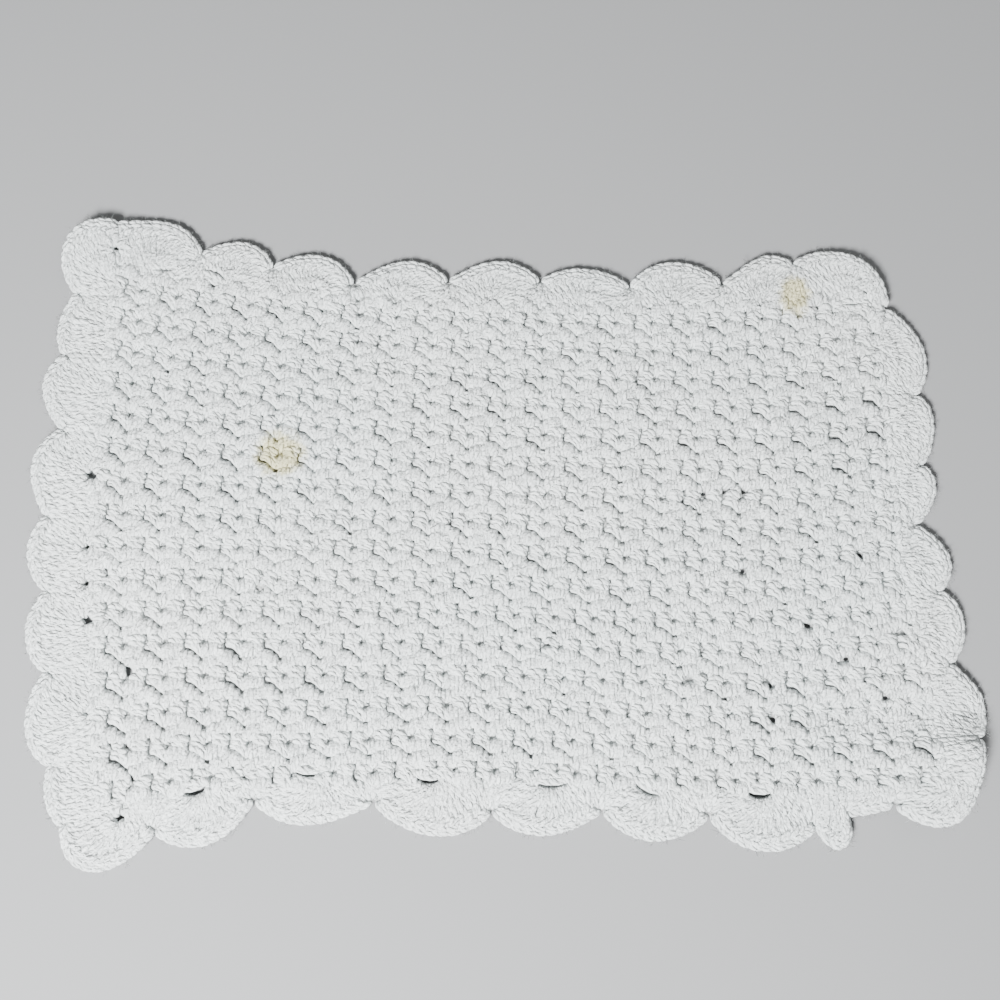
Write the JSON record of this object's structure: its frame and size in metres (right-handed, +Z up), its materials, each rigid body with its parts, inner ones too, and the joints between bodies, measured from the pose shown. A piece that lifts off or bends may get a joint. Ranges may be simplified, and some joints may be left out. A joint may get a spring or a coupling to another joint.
{
  "type": "crochet placemat",
  "caption": "Flat white cotton crochet placemat with a body of close lumpy stitch rows and a scalloped border of shell fans, laid on a table.",
  "frame": {"origin": "under the middle of the outline's box, on the table surface", "axes": "+X along the mat's long side to the right, +Y along its short side away from the diner, +Z up"},
  "size_m": [0.4546, 0.3154, 0.0141],
  "materials": {
    "cotton_yarn": "matte, slightly fuzzy"
  },
  "bodies": {
    "root": {"placemat": "cotton_yarn"}
  },
  "joints": []
}
